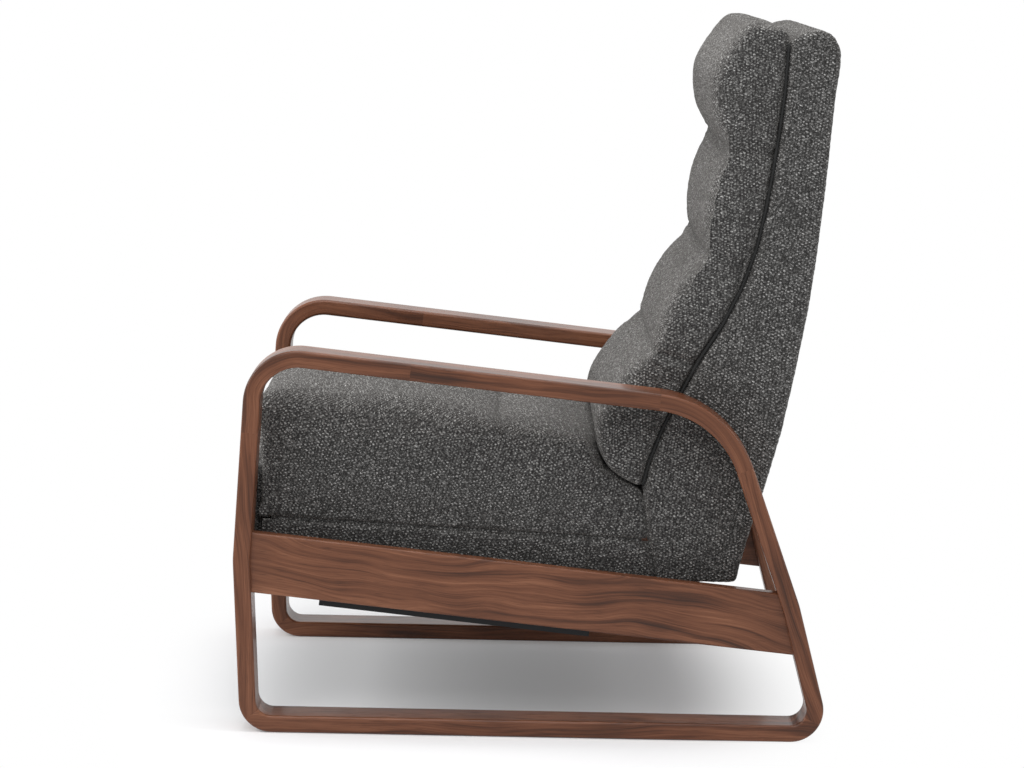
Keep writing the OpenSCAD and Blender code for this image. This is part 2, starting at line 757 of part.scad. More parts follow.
// The outer shell of the back: rear, cheeks and top round a pocket for the back's frame
module back_shell() {
  front = shifted(pulled(reversed(seam_line), 5, 0), seam_gap / 2);
  low_front = shifted(pulled(reversed(cheek_line), 3, 0), seam_gap / 2);
  outline = concat(
    smooth(pulled(rear_line, -9, 0), 1), shell_top,
    smooth(front, 1), [for (i = [1:len(low_front) - 1]) low_front[i]]
  );
  wall = [for (p = rear_line) [p[0] - rear_pad + 0.3, p[1]]];
  color(fabric) difference() {
    soft_form(outline, back_half, 10, 0, 3, 1);
    sheet_between(-pocket_half, pocket_half)
      polygon(concat([[100, 200], [wall[0][0] - 5, 200]], wall, [[wall[10][0] - 3, 1030], [100, 1030]]));
  }
}

valleys = [[273, 877], [245, 727], [169, 584]];
head_roll = [
  [357, 1034, -4, -3], [347, 1042, -3, -9], [322, 1051, 4, -16], [298, 1054, 12, -20], [268, 1038, 24, -18],
  [249, 1003, 32, -8], [240, 955, 34, 0], [248, 906, 32, 4], [273, 877, 22, 0],
];
lumbar_roll = [
  [169, 584, 20, 0], [150, 573, 30, -4], [127, 548, 34, -6], [107, 513, 34, -4], [93, 478, 30, 0],
  [88, 446, 18, 0], [97, 413, 10, 2], [112, 389, 4, 3], [134, 374, 0, 3], [151, 366, -2, 3],
];

module back_cushion() {
  rear = shifted(pulled(seam_line, -5, 0), -seam_gap / 2);
  outline = concat(
    rear,
    smooth(head_roll, 2),
    bulge_line(valleys[0], valleys[1], roll_bulge, 7, 34),
    [[valleys[1][0], valleys[1][1], 20, 0]],
    bulge_line(valleys[1], valleys[2], roll_bulge, 7, 34),
    smooth(lumbar_roll, 2)
  );
  color(fabric) soft_form(outline, back_half, 46, 0.12, 6, 2);
}

seat_nose_y = -401;
seat_under_y = -392;
channel_y = -50;

module seat_cushion() {
  deck = [for (y = [seat_under_y + 4, 0, 156]) concat(from_deck([y, border_top + 0.7]), [0, 2])];
  rear = smooth([
    [163, 292, 0, 0], [165, 318, 0, 0], [157, 357, 0, 0], [134, 370, 0, -2],
    [109, 387, 0, -4], [94, 412, 0, -7], [86, 437, 0, -12],
  ], 2);
  top_rear = smooth([
    [82, 448, 0, -20], [56, 458, 0, -30], [0, 467, 0, -38],
    [channel_y + 12, 471, 0, -42], [channel_y, 475 - channel_dip, 0, -34],
  ], 2);
  top_front = smooth([
    [channel_y, 475 - channel_dip, 0, -34], [channel_y - 12, 476, 0, -44], [-120, 485, 0, -50],
    [-206, 495, 0, -54], [-290, 502, 0, -58], [-344, 502, 4, -58], [-374, 494, 12, -52],
    [-391, 478, 20, -36], [seat_nose_y + 1, 452, 24, -16], [seat_nose_y, 424, 22, 0],
    [seat_nose_y + 2, 402, 14, 2],
  ], 2);
  under = [[seat_under_y - 1, 391, 6, 2], [seat_under_y, 380, 4, 0], [seat_under_y, 340, 4, 0]];
  color(fabric) soft_form(
    concat(deck, rear, top_rear, [for (i = [1:len(top_front) - 1]) top_front[i]], under),
    back_half, 56, 0.1, 6, 2
  );
}

pad_front_y = -424;
pad_gap = 0.3;
module legrest_pad() {
  back = legrest_back_y - legrest_t - pad_gap;
  low = legrest_low_z - 2;
  high = legrest_top_z + 2;
  face = [
    [back, high - 1, 0, -4], [back - 6, high, 2, -6], [pad_front_y + 4, high - 10, 6, -6],
    [pad_front_y, high - 44, 8, -2], [pad_front_y - 1, (low + high) / 2, 8, 0], [pad_front_y, low + 44, 8, 2],
    [pad_front_y + 4, low + 10, 6, 6], [back - 6, low, 2, 6],
  ];
  color(fabric) soft_form(concat([[back, low + 1, 0, 4]], smooth(face, 2)), legrest_w / 2 + pad_overhang, 22, 0.1, 5, 3);
}

// The back's frame: side panels cut to its profile, rails between them and webbing bands
panel_x_in = pocket_half - 0.3 - panel_t;
panel_low = 226;
panel_top = 1026;
panel_front_gap = 8;
panel_zs = [226, 262, 300, 362, 430, 500, 560, 604, 661, 720, 800, 880, 960, 1026];

module back_panel(s) {
  color(plain_wood) on_side(s) sheet_between(panel_x_in, panel_x_in + panel_t) difference() {
    polygon(concat(
      [[rear_y(panel_low) - rear_pad, panel_low]],
      [for (p = rear_line) if (p[1] > panel_low) [p[0] - rear_pad, p[1]]],
      [[rear_y(panel_top) - rear_pad, panel_top]],
      [for (z = reversed(panel_zs)) [front_y(z) + panel_front_gap, z]]
    ));
    hole_at(back_pivot, back_bolt_r + pin_fit);
    for (z = [420, 520]) hole_at([(front_y(z) + rear_y(z)) / 2, z], 34);
    for (z = [620, 700]) hole_at([(front_y(z) + rear_y(z)) / 2, z], 24);
  }
}

module back_rail(z0, z1, from_rear) {
  mid = (z0 + z1) / 2;
  lean = atan2(rear_y(z1) - rear_y(z0), z1 - z0);
  color(plain_wood) translate([0, rear_y(mid) - rear_pad - from_rear, mid]) rotate([-lean, 0, 0])
    translate([-panel_x_in, -20, -(z1 - z0) / 2]) cube([2 * panel_x_in, 20, z1 - z0]);
}

module back_webbing() {
  low = 395;
  high = 960;
  color(band_cloth) for (i = [0:band_n - 1]) {
    z = low + (high - low) * i / (band_n - 1);
    lean = atan2(front_y(z + band_h / 2) - front_y(z - band_h / 2), band_h);
    translate([0, front_y(z) + panel_front_gap + 2, z]) rotate([-lean, 0, 0])
      translate([-panel_x_in, 0, -band_h / 2]) cube([2 * panel_x_in, 2.4, band_h]);
  }
}

module back_pivot_bolts() {
  color(bright_steel) for (s = [-1, 1]) on_side(s) {
    round_across(back_pivot, back_bolt_r, plate_x - 3, panel_x_in + panel_t);
    round_across(back_pivot, back_bolt_r + 4, plate_x - 4.4, plate_x - face_fit);
  }
}

runner(1);  // left_runner
front_leg(1);  // left_front_leg
front_bend(1);  // left_front_bend
arm(1);  // left_arm
rear_bend(1);  // left_rear_bend
rear_leg(1);  // left_rear_leg
runner(-1);  // right_runner
front_leg(-1);  // right_front_leg
front_bend(-1);  // right_front_bend
arm(-1);  // right_arm
rear_bend(-1);  // right_rear_bend
rear_leg(-1);  // right_rear_leg
rail(1);  // left_rail
rail(-1);  // right_rail
rear_stretcher();
channel(1);  // left_channel
channel(-1);  // right_channel
channel_screws();
cross_tubes();
base_swing_pins();
swing(1, 0);  // left_front_swing
swing(-1, 0);  // right_front_swing
swing(1, 1);  // left_rear_swing
swing(-1, 1);  // right_rear_swing
seat_plate(1);  // left_seat_plate
seat_plate(-1);  // right_seat_plate
seat_swing_pins();
seat_studs();
seat_board(1);  // left_seat_board
seat_board(-1);  // right_seat_board
front_seat_board();
rear_seat_board();
seat_springs();
seat_border();
seat_cushion();
lift_arm(1);  // left_lift_arm
lift_arm(-1);  // right_lift_arm
lift_arm_rivets();
reach_arm(1);  // left_reach_arm
reach_arm(-1);  // right_reach_arm
guide_arm(1);  // left_guide_arm
guide_arm(-1);  // right_guide_arm
guide_arm_rivets();
hold_arm(1);  // left_hold_arm
hold_arm(-1);  // right_hold_arm
legrest_bracket(1);  // left_legrest_bracket
legrest_bracket(-1);  // right_legrest_bracket
legrest_pins();
legrest_board();
legrest_pad();
back_panel(1);  // left_back_panel
back_panel(-1);  // right_back_panel
back_rail(975, 1022, 4);  // back_top_rail
back_rail(600, 650, 4);  // back_middle_rail
back_rail(262, 302, 4);  // back_bottom_rail
back_webbing();
back_pivot_bolts();
back_shell();
back_cushion();
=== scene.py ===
"""A recliner with walnut side loops and tweed upholstery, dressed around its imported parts."""

import math

import bmesh
import bpy
import numpy as np
from mathutils import Matrix, Vector, noise


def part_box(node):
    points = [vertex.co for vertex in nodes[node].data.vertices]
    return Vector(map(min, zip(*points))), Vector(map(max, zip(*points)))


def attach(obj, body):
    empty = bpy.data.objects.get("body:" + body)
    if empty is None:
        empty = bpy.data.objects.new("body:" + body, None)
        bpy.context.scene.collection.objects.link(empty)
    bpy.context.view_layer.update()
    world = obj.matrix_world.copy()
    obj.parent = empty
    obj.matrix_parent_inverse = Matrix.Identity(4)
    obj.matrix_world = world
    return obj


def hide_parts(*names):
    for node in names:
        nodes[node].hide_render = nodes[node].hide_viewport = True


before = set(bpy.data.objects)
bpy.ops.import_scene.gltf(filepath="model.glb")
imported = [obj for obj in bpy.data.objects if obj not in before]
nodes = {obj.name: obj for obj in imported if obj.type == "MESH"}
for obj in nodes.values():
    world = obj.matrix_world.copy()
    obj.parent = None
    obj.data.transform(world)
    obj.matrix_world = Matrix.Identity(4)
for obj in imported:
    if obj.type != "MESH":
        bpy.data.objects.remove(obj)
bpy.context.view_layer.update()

# Sheets of shader nodes


class Value:
    """A socket of a sheet that takes part in sums; numbers join in on either side."""

    def __init__(self, sheet, socket):
        self.sheet = sheet
        self.socket = socket

    def math(self, operation, *others):
        return self.sheet.math(operation, self, *others)

    def __add__(self, other):
        return self.math("ADD", other)

    __radd__ = __add__

    def __mul__(self, other):
        return self.math("MULTIPLY", other)

    __rmul__ = __mul__

    def __sub__(self, other):
        return self.math("SUBTRACT", other)

    def __rsub__(self, other):
        return self.sheet.math("SUBTRACT", other, self)

    def __truediv__(self, other):
        return self.math("DIVIDE", other)

    def __rtruediv__(self, other):
        return self.sheet.math("DIVIDE", other, self)

    def __pow__(self, other):
        return self.math("POWER", other)

    def __rpow__(self, other):
        return self.sheet.math("POWER", other, self)

    def abs(self):
        return self.math("ABSOLUTE")

    def sin(self):
        return self.math("SINE")

    def clamped(self, low, high):
        """0 below low, 1 above high and smooth between them."""
        return self.sheet.add(
            "MapRange",
            {"interpolation_type": "SMOOTHSTEP"},
            {"Value": self, "From Min": low, "From Max": high},
        )


class Sheet:
    """The nodes of one material, or of the studio's surroundings."""

    def __init__(self, owner):
        self.owner = owner
        owner.use_nodes = True
        self.tree = owner.node_tree
        self.tree.nodes.clear()

    def add(self, kind, settings=None, sockets=None, out=0):
        """Makes one node from its settings and what its sockets take; gives one output."""
        node = self.tree.nodes.new("ShaderNode" + kind)
        for key, value in (settings or {}).items():
            if key == "stops":
                fill_ramp(node.color_ramp, value)
            else:
                setattr(node, key, value)
        for key, value in (sockets or {}).items():
            if isinstance(value, Value):
                self.tree.links.new(value.socket, node.inputs[key])
            else:
                node.inputs[key].default_value = value
        return Value(self, node.outputs[out]) if len(node.outputs) else None

    def outputs(self, kind, keys, sockets=None):
        """Several outputs of one node."""
        node = self.add(kind, sockets=sockets).socket.node
        return [Value(self, node.outputs[key]) for key in keys]

    def math(self, operation, *values):
        return self.add("Math", {"operation": operation}, dict(enumerate(values)))

    def place(self):
        """The point of the surface in the chair's own frame, in metres."""
        return self.add("TexCoord", out="Object")

    def split(self, vector):
        return self.outputs("SeparateXYZ", range(3), {0: vector})

    def join(self, x, y, z):
        return self.add("CombineXYZ", sockets={0: x, 1: y, 2: z})

    def noise(self, vector, scale, detail=2.0, roughness=0.5, distortion=0.0):
        sockets = {
            "Vector": vector,
            "Scale": scale,
            "Detail": detail,
            "Roughness": roughness,
            "Distortion": distortion,
        }
        return self.add("TexNoise", sockets=sockets)

    def ramp(self, value, stops):
        return self.add("ValToRGB", {"stops": stops}, {0: value})

    def mix(self, share, a, b):
        return self.add("Mix", {"data_type": "RGBA"}, {0: share, 6: a, 7: b}, out=2)

    def bump(self, height, strength, distance):
        sockets = {"Height": height, "Strength": strength, "Distance": distance}
        return self.add("Bump", sockets=sockets)

    def finish(self, surface, kind="OutputMaterial"):
        self.add(kind, sockets={"Surface": surface})
        return self.owner

    def principled(self, sockets):
        return self.finish(self.add("BsdfPrincipled", sockets=sockets))


def material(name):
    return Sheet(bpy.data.materials.new(name))


def fill_ramp(ramp, stops):
    """Gives a ramp its stops, each a position and a colour."""
    while len(ramp.elements) > 1:
        ramp.elements.remove(ramp.elements[-1])
    ramp.elements[0].position = stops[0][0]
    ramp.elements[0].color = stops[0][1] + (1,)
    for position, colour in stops[1:]:
        ramp.elements.new(position).color = colour + (1,)


# Finishes

WALNUT_TONES = (
    (0.30, (0.040, 0.0125, 0.005)),
    (0.42, (0.096, 0.031, 0.0125)),
    (0.52, (0.158, 0.055, 0.0245)),
    (0.62, (0.208, 0.078, 0.037)),
    (0.74, (0.285, 0.118, 0.060)),
)
WALNUT_PORE = (0.042, 0.015, 0.007, 1)
BEND_STRETCH = 0.09  # metres of grain for each radian of a bend


def walnut(name, heading=(1, 0), bend=None, seed=0.0, figure=1.0, sideways=False):
    """Oiled walnut whose grain runs along heading (Y, Z), or round a bend: its centre (Y, Z),
    the direction of its middle and half its turn, in degrees. It runs on straight past both
    ends. A sideways board has its grain along X."""
    sheet = material(name)
    x, y, z = sheet.split(sheet.place())
    if sideways:
        x, y = y, x
    if bend is None:
        run, rise = heading
        along = y * run + z * rise
        across = z * run - y * rise
    else:
        centre, middle, half = bend
        half = math.radians(half)
        c, s = math.cos(math.radians(middle)), math.sin(math.radians(middle))
        dy, dz = y - centre[0], z - centre[1]
        angle = (dz * c - dy * s).math("ARCTAN2", dy * c + dz * s)
        held = angle.math("MAXIMUM", -half).math("MINIMUM", half)
        beyond = angle - held
        radius = (dy * dy + dz * dz) ** 0.5
        along = radius * beyond.sin() + held * BEND_STRETCH
        across = radius * beyond.math("COSINE")

    def grain(x_scale, along_scale, depth, *more):
        return sheet.noise(sheet.join(x * x_scale + seed, along * along_scale, depth), *more)

    def speckle(x_scale, along_scale, depth, *more):
        return sheet.noise(sheet.join(x * x_scale, along * along_scale + seed, depth), *more)

    # Slow drift, broad figure, growth lines, pores and clouds, all drawn out along the grain
    slow = grain(2.0, 1.6, across * 3.0, 2.2)
    drift = across + (slow - 0.5) * (0.05 * figure) + x * 0.35
    bands = grain(3.0, 0.9, drift * 26.0, 3.4, 4.0, 0.62, 0.35)
    lines = grain(60.0, 3.0, drift * 260.0, 2.0, 3.0, 0.6)
    pores = speckle(700.0, 34.0, across * 1500.0, 1.0, 1.0)
    cloud = speckle(4.0, 3.0, across * 9.0, 1.6)
    tone = (bands - 0.5) * 0.78 + (lines - 0.5) * 0.40 + (cloud - 0.5) * 0.45 + 0.51
    pits = pores.clamped(0.60, 0.74)
    return sheet.principled({
        "Base Color": sheet.mix(pits * 0.6, sheet.ramp(tone, WALNUT_TONES), WALNUT_PORE),
        "Roughness": 0.42 + (bands - 0.5) * 0.16 + pits * 0.2,
        "Normal": sheet.bump(0.0 - pits + lines * 0.4, 0.12, 0.0004),
        "Specular IOR Level": 0.22,
        "Coat Weight": 0.28,
        "Coat Roughness": 0.14,
    })


BIRCH_TONES = (
    (0.30, (0.42, 0.29, 0.17)),
    (0.55, (0.60, 0.45, 0.29)),
    (0.75, (0.70, 0.55, 0.38)),
)
# How dark the boards seen through gaps are made: painted shade, not their own colour
GAP_SHADE = 0.06


def raw_wood(name, heading, shade=1.0):
    """Birch boards inside the seat and the back, their grain along heading; a low shade darkens
    them nearly black, as painted shade for the gaps where they show."""
    sheet = material(name)
    x, y, z = sheet.split(sheet.place())
    along = x * heading[0] + y * heading[1] + z * heading[2]
    cross = x * (1 - heading[0]) + y * (1 - heading[1]) * 0.7 + z * (1 - heading[2])
    grain = sheet.noise(sheet.join(along * 2.0, cross * 40.0, z * 6.0), 2.0, 3.0, 0.6, 0.3)
    tones = [(position, tuple(c * shade for c in tone)) for position, tone in BIRCH_TONES]
    return sheet.principled({
        "Base Color": sheet.ramp(grain, tones),
        "Roughness": 0.55 + grain * 0.2,
        "Normal": sheet.bump(grain, 0.15, 0.0006),
    })


def metal(name, colour, roughness, metallic, grit, gloss=0.5):
    """Steel, powder coated or zinc plated, with a faint orange-peel and rubbed spots."""
    sheet = material(name)
    peel = sheet.noise(sheet.place(), 900.0)
    spots = sheet.noise(sheet.place(), 45.0, 3.0)
    dull, rubbed = (tuple(min(1, c * share) for c in colour) + (1,) for share in (0.8, 1.25))
    return sheet.principled({
        "Base Color": sheet.mix(spots, dull, rubbed),
        "Roughness": roughness + (spots - 0.5) * 0.25,
        "Metallic": metallic,
        "Specular IOR Level": gloss,
        "Normal": sheet.bump(peel, grit, 0.0002),
    })


NUB_PITCH = 0.0046
ROW_PITCH = 0.0024
YARN_BLACK = (0.006, 0.006, 0.0065, 1)
YARN_GREY = (0.060, 0.059, 0.057, 1)
YARN_FLECK = (0.17, 0.168, 0.163, 1)
NUB_DARK = (0.072, 0.071, 0.069, 1)
NUB_LIGHT = (0.72, 0.71, 0.69, 1)
SLUB_LIGHT = (0.62, 0.61, 0.59, 1)


def tweed(name, tilt):
    """Basket weave of thick charcoal yarn with light nubs, drawn on each face's own plane."""
    sheet = material(name)
    place = sheet.place()
    wander = sheet.noise(place, 55.0)
    jitter = sheet.noise(place, 230.0, 1.0)
    shift = (wander - 0.5) * 0.010 + (jitter - 0.5) * 0.0018
    x, y, z = sheet.split(place)
    weights = [n.abs() ** 6.0 for n in sheet.split(sheet.add("TexCoord", out="Normal"))]
    total = weights[0] + weights[1] + weights[2]
    c, s = math.cos(tilt), math.sin(tilt)
    across, up = math.pi / NUB_PITCH, math.pi / ROW_PITCH
    # The weave on the three planes, each weighed by how far the face looks its way
    knots = []
    for weight, (u, v) in zip(weights, ((y, z), (x, z), (x, y))):
        du, dv = u + shift, v - shift
        knot = ((du * c + dv * s) * across).sin() * ((dv * c - du * s) * up).sin()
        knots.append(knot * (weight / total))
    woven = knots[0] + knots[1] + knots[2]
    # Light nubs, patches of them, hairs, clumps of dark yarn and slubs that run in one yarn
    nub = sheet.noise(place, 330.0, 2.0, 0.6)
    patch = sheet.noise(place, 26.0, 2.0, 0.6)
    fuzz = sheet.noise(place, 1500.0, 2.0, 0.7)
    clump = sheet.noise(place, 165.0, 3.0, 0.65)
    slub = sheet.noise(sheet.join(x * 0.34, y, z), 270.0, 2.0, 0.6)
    dots = woven.clamped(0.02, 0.72)
    troughs = (0.0 - woven).clamped(0.1, 0.9)
    lightness = ((nub - 0.40) * 4.2 * (0.5 + patch)).clamped(0.0, 1.1)
    colour = sheet.mix(fuzz.clamped(0.3, 0.7), YARN_BLACK, YARN_GREY)
    colour = sheet.mix(troughs * nub, colour, YARN_FLECK)
    colour = sheet.mix(dots * 0.9, colour, sheet.mix(lightness, NUB_DARK, NUB_LIGHT))
    colour = sheet.mix(clump.clamped(0.52, 0.66) * 0.5, colour, YARN_BLACK)
    colour = sheet.mix(slub.clamped(0.48, 0.62) * 0.68, colour, YARN_BLACK)
    colour = sheet.mix((0.0 - slub).clamped(-0.46, -0.32) * 0.26, colour, SLUB_LIGHT)
    height = woven * 0.55 + nub * 0.5 + fuzz * 0.12 + slub * 0.7
    return sheet.principled({
        "Base Color": colour,
        "Roughness": 0.96,
        "Normal": sheet.bump(height, 0.85, 0.0022),
        "Specular IOR Level": 0.12,
        "Sheen Weight": 0.3,
        "Sheen Roughness": 0.6,
        "Sheen Tint": (0.88, 0.83, 0.78, 1),
    })


RIB_PITCH = 0.0016
THREAD_PITCH = 0.0011


def band_weave(name):
    """Black elastic webbing with fine lengthwise ribs."""
    sheet = material(name)
    x, _, z = sheet.split(sheet.place())
    ribs = (z * (math.pi / RIB_PITCH)).sin() * 0.5 + (x * (math.pi / THREAD_PITCH)).sin() * 0.5
    colour = sheet.mix(ribs.clamped(-0.6, 0.8), (0.02, 0.018, 0.016, 1), (0.09, 0.082, 0.072, 1))
    return sheet.principled({
        "Base Color": colour,
        "Roughness": 0.85,
        "Normal": sheet.bump(ribs, 0.5, 0.0005),
    })


def seam_shade_thread(name):
    """Black twisted thread, laid in the back's seam groove as painted shade along the seam."""
    sheet = material(name)
    twist = sheet.noise(sheet.place(), 1400.0)
    return sheet.principled({
        "Base Color": sheet.mix(twist, (0.003, 0.003, 0.003, 1), (0.014, 0.014, 0.014, 1)),
        "Roughness": 0.8,
        "Normal": sheet.bump(twist, 0.4, 0.0004),
    })


def cover(obj, finish):
    obj.data.materials.clear()
    obj.data.materials.append(finish)


# Wood, steel and boards

# Each bend's centre (Y, Z), the direction of its middle and half its turn, in degrees
FRONT_BEND = ((-0.3417, 0.4860), 130.5, 46.3)
REAR_BEND = ((0.1677, 0.3511), 52.1, 32.2)
# The grain of one board is this far from the next in the log, and from the other side's
BOARD_STEP = 3.1
SIDE_STEPS = (0.0, 7.3)

SIDES = ("left", "right")
ACROSS = (1, 0, 0)
LENGTHWISE = (0, 1, 0)
UPRIGHT = (0, 0, 1)


def unit(y, z):
    length = math.hypot(y, z)
    return (y / length, z / length)


def pairs(*pieces):
    """The node names of pieces that come on both sides."""
    return ["%s_%s" % (side, piece) for piece in pieces for side in SIDES]


def dress_frame():
    """Each bent or straight piece of a loop has its own board of walnut."""
    plan = {
        "runner": dict(),
        "front_leg": dict(heading=unit(-0.0125, 0.3)),
        "front_bend": dict(bend=FRONT_BEND),
        "arm": dict(heading=unit(-0.703, 0.071)),
        "rear_bend": dict(bend=REAR_BEND),
        "rear_leg": dict(heading=unit(-0.108, 0.298)),
        "rail": dict(heading=(0.9952, -0.0976), figure=2.4),
    }
    for i, (piece, facts) in enumerate(plan.items()):
        for side, step in zip(SIDES, SIDE_STEPS):
            seed = BOARD_STEP * i + step
            finish = walnut("walnut_%s_%s" % (side, piece), seed=seed, **facts)
            cover(nodes["%s_%s" % (side, piece)], finish)
    cover(nodes["rear_stretcher"], walnut("walnut_stretcher", seed=40.0, sideways=True))


def dress_inside():
    """Boards, steel and webbing. The boards that show when the back is tilted are darkened
    nearly black, as painted shade for the gaps they show through.
    """
    plan = (
        (
            metal("black_coated_steel", (0.007, 0.007, 0.008), 0.5, 0.0, 0.25, gloss=0.25),
            ["cross_tubes"]
            + pairs("channel", "front_swing", "rear_swing", "seat_plate", "legrest_bracket")
            + pairs("lift_arm", "reach_arm", "guide_arm", "hold_arm"),
        ),
        (
            metal("zinc_plated_steel", (0.56, 0.57, 0.58), 0.3, 1.0, 0.1),
            [
                "channel_screws", "base_swing_pins", "seat_swing_pins", "seat_studs",
                "lift_arm_rivets", "guide_arm_rivets", "legrest_pins", "back_pivot_bolts",
            ],
        ),
        (metal("spring_wire", (0.30, 0.30, 0.31), 0.35, 1.0, 0.1), ["seat_springs"]),
        (band_weave("elastic_webbing"), ["back_webbing"]),
        (
            raw_wood("birch_across", ACROSS),
            ["legrest_board", "back_top_rail", "back_middle_rail", "back_bottom_rail"],
        ),
        # These boards are darkened nearly black: painted shade in the gaps where they show
        (
            raw_wood("gap_shade_across", ACROSS, GAP_SHADE),
            ["front_seat_board", "rear_seat_board"],
        ),
        (raw_wood("gap_shade_lengthwise", LENGTHWISE, GAP_SHADE), pairs("seat_board")),
        (raw_wood("gap_shade_upright", UPRIGHT, GAP_SHADE), pairs("back_panel")),
    )
    for finish, names in plan:
        for name in names:
            cover(nodes[name], finish)


# Work on the meshes of the soft parts


def new_object(name, data):
    obj = bpy.data.objects.new(name, data)
    bpy.context.scene.collection.objects.link(obj)
    return obj


def read_vectors(obj, attribute):
    flat = np.empty(len(obj.data.vertices) * 3)
    obj.data.vertices.foreach_get(attribute, flat)
    return flat.reshape(-1, 3)


def points_of(obj):
    return read_vectors(obj, "co")


def normals_of(obj):
    return read_vectors(obj, "normal")


def move_points(obj, points):
    obj.data.vertices.foreach_set("co", points.reshape(-1))
    obj.data.update()


def shade_round(mesh):
    for polygon in mesh.polygons:
        polygon.use_smooth = True


def apply_modifiers(obj):
    """Bakes an object's modifiers into its mesh."""
    depsgraph = bpy.context.evaluated_depsgraph_get()
    mesh = bpy.data.meshes.new_from_object(obj.evaluated_get(depsgraph))
    obj.modifiers.clear()
    old, obj.data = obj.data, mesh
    bpy.data.meshes.remove(old)


def soft_copy(node, name, cell):
    """A finer copy of a soft part's solid, remade from cells of one size."""
    obj = new_object(name, nodes[node].data.copy())
    obj.data.materials.clear()
    remesh = obj.modifiers.new("remesh", "REMESH")
    remesh.mode = "VOXEL"
    remesh.voxel_size = cell
    apply_modifiers(obj)
    return obj


def smooth(obj, rounds, keep=None):
    """Evens a mesh out: each round takes every point half way to the middle of its
    neighbours. keep is 1 at the points that stay."""
    mesh = obj.data
    edges = np.empty(len(mesh.edges) * 2, dtype=np.int64)
    mesh.edges.foreach_get("vertices", edges)
    a, b = edges.reshape(-1, 2).T
    points = points_of(obj)
    count = np.bincount(a, minlength=len(points)) + np.bincount(b, minlength=len(points))
    free = 1.0 if keep is None else (1.0 - keep)[:, None]
    for _ in range(rounds):
        total = np.zeros_like(points)
        np.add.at(total, a, points[b])
        np.add.at(total, b, points[a])
        points = points + (total / count[:, None] - points) * 0.5 * free
    move_points(obj, points)


def subdivide(obj):
    modifier = obj.modifiers.new("fine", "SUBSURF")
    modifier.levels = modifier.render_levels = 1
    apply_modifiers(obj)


PUFF_FRAMES = 12
PUFF_LEVELS = 10
CLOTH_MASS = 0.4
CLOTH_TENSION = 15.0
CLOTH_BENDING = 2.0


def puff(obj, pinned, pressure, cap, shrink=0.0):
    """Fills a closed cover with air for a moment. pinned is 1 where the cover is sewn or
    rests, cap is the longest way that a point goes, and shrink draws the cover in first."""
    start = points_of(obj)
    if np.any(shrink):
        move_points(obj, start - normals_of(obj) * (shrink * (1 - pinned))[:, None])
        start = points_of(obj)
    group = obj.vertex_groups.new(name="sewn")
    for level in range(1, PUFF_LEVELS + 1):
        chosen = np.where(np.round(pinned * PUFF_LEVELS) == level)[0]
        if len(chosen):
            group.add(chosen.tolist(), level / PUFF_LEVELS, "REPLACE")
    cloth = obj.modifiers.new("cloth", "CLOTH")
    settings = cloth.settings
    settings.quality = 3
    settings.mass = CLOTH_MASS
    settings.tension_stiffness = CLOTH_TENSION
    settings.compression_stiffness = CLOTH_TENSION
    settings.shear_stiffness = CLOTH_TENSION / 3
    settings.bending_stiffness = CLOTH_BENDING
    settings.use_pressure = True
    settings.uniform_pressure_force = pressure
    settings.vertex_group_mass = "sewn"
    settings.effector_weights.gravity = 0
    cloth.collision_settings.use_collision = False
    cloth.point_cache.frame_start = 1
    cloth.point_cache.frame_end = PUFF_FRAMES
    scene = bpy.context.scene
    for k in range(1, PUFF_FRAMES + 1):
        scene.frame_set(k)
    apply_modifiers(obj)
    scene.frame_set(1)
    step = points_of(obj) - start
    length = np.linalg.norm(step, axis=1)
    share = np.minimum(1.0, cap / np.maximum(length, 1e-9))
    move_points(obj, start + step * share[:, None])
    obj.vertex_groups.clear()


def smoothstep(v, low, high):
    t = np.clip((v - low) / (high - low), 0, 1)
    return t * t * (3 - 2 * t)


def distance_to(points, line):
    """How far each point lies from a line of (Y, Z) points, seen from the side."""
    line = np.array(line)
    best = np.full(len(points), 1e9)
    yz = points[:, 1:]
    for a, b in zip(line[:-1], line[1:]):
        ab = b - a
        t = np.clip(((yz - a) @ ab) / (ab @ ab), 0, 1)
        best = np.minimum(best, np.linalg.norm(yz - (a + t[:, None] * ab), axis=1))
    return best


def pressed(points, line, depth, width):
    """How deep each point is pressed in by a seam along a line of (Y, Z) points."""
    return depth * np.exp(-((distance_to(points, line) / width) ** 2))


def groove(obj, line, depth, width, share):
    """Presses a sewn channel into a cover along a line."""
    points, normals = points_of(obj), normals_of(obj)
    press = pressed(points, line, depth, width) * share
    move_points(obj, points - normals * press[:, None])


TUCK_START = 0.255
TUCK_FADE = 0.01


def tuck_sides(obj, line, depth, width, start=TUCK_START):
    """Draws a cover's side faces, from X start outwards, in towards a seam along a line."""
    points = points_of(obj)
    x = np.abs(points[:, 0])
    press = pressed(points, line, depth, width) * smoothstep(x, start, start + TUCK_FADE)
    points[:, 0] -= np.sign(points[:, 0]) * press
    move_points(obj, points)


LUMP_WIDTH = 0.005


def ripple(obj, height, seed):
    """Small unevenness of stuffing and yarn."""
    points = points_of(obj)
    offset = Vector((seed, seed * 0.7, -seed))
    amount = np.array([noise.noise(Vector(p) / LUMP_WIDTH + offset) for p in points])
    move_points(obj, points + normals_of(obj) * (amount * height)[:, None])


CORD_FACES = 8


